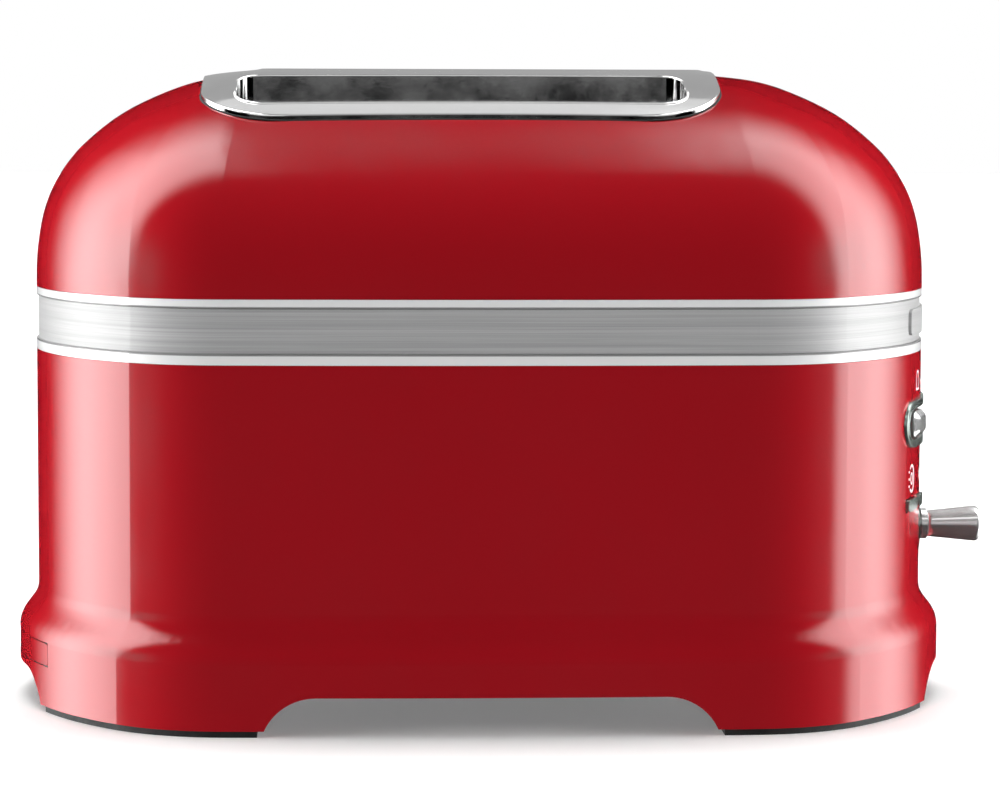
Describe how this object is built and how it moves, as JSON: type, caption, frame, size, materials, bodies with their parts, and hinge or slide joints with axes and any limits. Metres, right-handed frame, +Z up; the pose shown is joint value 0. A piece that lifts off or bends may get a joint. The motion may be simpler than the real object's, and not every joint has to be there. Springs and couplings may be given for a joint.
{
  "type": "pop up toaster",
  "caption": "Long domed pop up toaster in gloss enamel with a steel waist band, chrome slot frame, arched skirt and end mounted lever.",
  "frame": {"origin": "on the worktop, midway between the rear end of the skirt and the tip of the lever knob, on the centre line", "axes": "+X towards the control end with the lever, +Y towards the back, +Z up"},
  "size_m": [0.3292, 0.2058, 0.2107],
  "materials": {
    "red_enamel": "deep gloss enamel on a die cast shell",
    "brushed_steel_band": "horizontal brushing between bright lips",
    "chrome": "mirror chrome",
    "black_enamel": "satin black heat resistant enamel",
    "black_plastic": "moulded, fine texture",
    "foot_rubber": "soft matte rubber",
    "plated_steel": "zinc plated",
    "tray_aluminium": "rolled sheet",
    "mica": "layered mica board",
    "bronze": "sintered",
    "white_nylon": "moulded",
    "circuit_board": "solder mask over glass fibre"
  },
  "bodies": {
    "housing": {"upper_shell": "red_enamel", "lower_shell": "red_enamel", "trim_band": "brushed_steel_band", "end_badge": "brushed_steel_band", "slot_frame": "chrome", "shade_bezel": "chrome", "lever_escutcheon": "chrome", "throat_liners": "black_enamel", "base_plate": "black_plastic", "shade_track": "black_plastic", "cord_gland": "black_plastic", "gearbox": "black_plastic", "terminal_block": "black_plastic", "board_parts": "black_plastic", "rubber_feet": "foot_rubber", "base_screws": "plated_steel", "lever_pin": "plated_steel", "lever_bracket": "plated_steel", "front_end_plate": "plated_steel", "rear_end_plate": "plated_steel", "guide_rods": "plated_steel", "rod_bridge": "plated_steel", "lift_motor": "plated_steel", "motor_bracket": "plated_steel", "heater_ribbons": "plated_steel", "front_reflector": "tray_aluminium", "back_reflector": "tray_aluminium", "front_outer_heater": "mica", "front_inner_heater": "mica", "back_inner_heater": "mica", "back_outer_heater": "mica", "control_board": "circuit_board"},
    "bread_lift": {"lift_carriage": "plated_steel", "carriage_bushes": "bronze", "lift_rack": "plated_steel", "front_bread_rack": "plated_steel", "back_bread_rack": "plated_steel"},
    "lift_pinion": {"drive_pinion": "white_nylon", "drive_shaft": "plated_steel"},
    "front_outer_guard_body": {"front_outer_guard": "plated_steel"},
    "front_inner_guard_body": {"front_inner_guard": "plated_steel"},
    "back_inner_guard_body": {"back_inner_guard": "plated_steel"},
    "back_outer_guard_body": {"back_outer_guard": "plated_steel"},
    "lever": {"lever_arm": "chrome", "lever_knob": "chrome"},
    "shade_knob": {"shade_slider": "chrome"},
    "bagel_key": {"bagel_button": "chrome"},
    "defrost_key": {"defrost_button": "chrome"},
    "keep_warm_key": {"keep_warm_button": "chrome"},
    "one_side_key": {"one_side_button": "chrome"},
    "tray": {"crumb_tray": "tray_aluminium", "tray_front": "red_enamel"}
  },
  "joints": [
    {"name": "bread_lift_travel", "type": "slide", "parent": "housing", "child": "bread_lift", "axis": [0, 0, -1], "range_m": [0, 0.048]},
    {"name": "pinion_spin", "type": "hinge", "parent": "housing", "child": "lift_pinion", "pos_m": [0.105, 0, 0.085], "axis": [0, -1, 0], "range_deg": [0, 306]},
    {"name": "front_outer_guard_travel", "type": "slide", "parent": "housing", "child": "front_outer_guard_body", "axis": [0, 1, 0], "range_m": [0, 0.005]},
    {"name": "front_inner_guard_travel", "type": "slide", "parent": "housing", "child": "front_inner_guard_body", "axis": [0, -1, 0], "range_m": [0, 0.005]},
    {"name": "back_inner_guard_travel", "type": "slide", "parent": "housing", "child": "back_inner_guard_body", "axis": [0, 1, 0], "range_m": [0, 0.005]},
    {"name": "back_outer_guard_travel", "type": "slide", "parent": "housing", "child": "back_outer_guard_body", "axis": [0, -1, 0], "range_m": [0, 0.005]},
    {"name": "lever_toggle", "type": "hinge", "parent": "housing", "child": "lever", "pos_m": [0.13085, 0, 0.0554], "axis": [0, 1, 0], "range_deg": [-8, 8], "stiffness_Nm_per_rad": 1},
    {"name": "shade_travel", "type": "hinge", "parent": "housing", "child": "shade_knob", "pos_m": [0.02945, 0, 0.0936], "axis": [0, 0, 1], "range_deg": [0, 38.94]},
    {"name": "bagel_press", "type": "slide", "parent": "housing", "child": "bagel_key", "axis": [-0.9259, 0.3778, 0], "range_m": [0, 0.0008], "stiffness_N_per_m": 300},
    {"name": "defrost_press", "type": "slide", "parent": "housing", "child": "defrost_key", "axis": [-0.9708, 0.24, 0], "range_m": [0, 0.0008], "stiffness_N_per_m": 300},
    {"name": "keep_warm_press", "type": "slide", "parent": "housing", "child": "keep_warm_key", "axis": [-0.9708, -0.24, 0], "range_m": [0, 0.0008], "stiffness_N_per_m": 300},
    {"name": "one_side_press", "type": "slide", "parent": "housing", "child": "one_side_key", "axis": [-0.9259, -0.3778, 0], "range_m": [0, 0.0008], "stiffness_N_per_m": 300},
    {"name": "tray_travel", "type": "slide", "parent": "housing", "child": "tray", "axis": [-1, 0, 0], "range_m": [0, 0.215]}
  ],
  "couplings": [
    {"joint": "pinion_spin", "follows": "bread_lift_travel", "rad_per_m": 111.11},
    {"joint": "front_outer_guard_travel", "follows": "bread_lift_travel", "ratio": 0.104},
    {"joint": "front_inner_guard_travel", "follows": "bread_lift_travel", "ratio": 0.104},
    {"joint": "back_inner_guard_travel", "follows": "bread_lift_travel", "ratio": 0.104},
    {"joint": "back_outer_guard_travel", "follows": "bread_lift_travel", "ratio": 0.104}
  ]
}
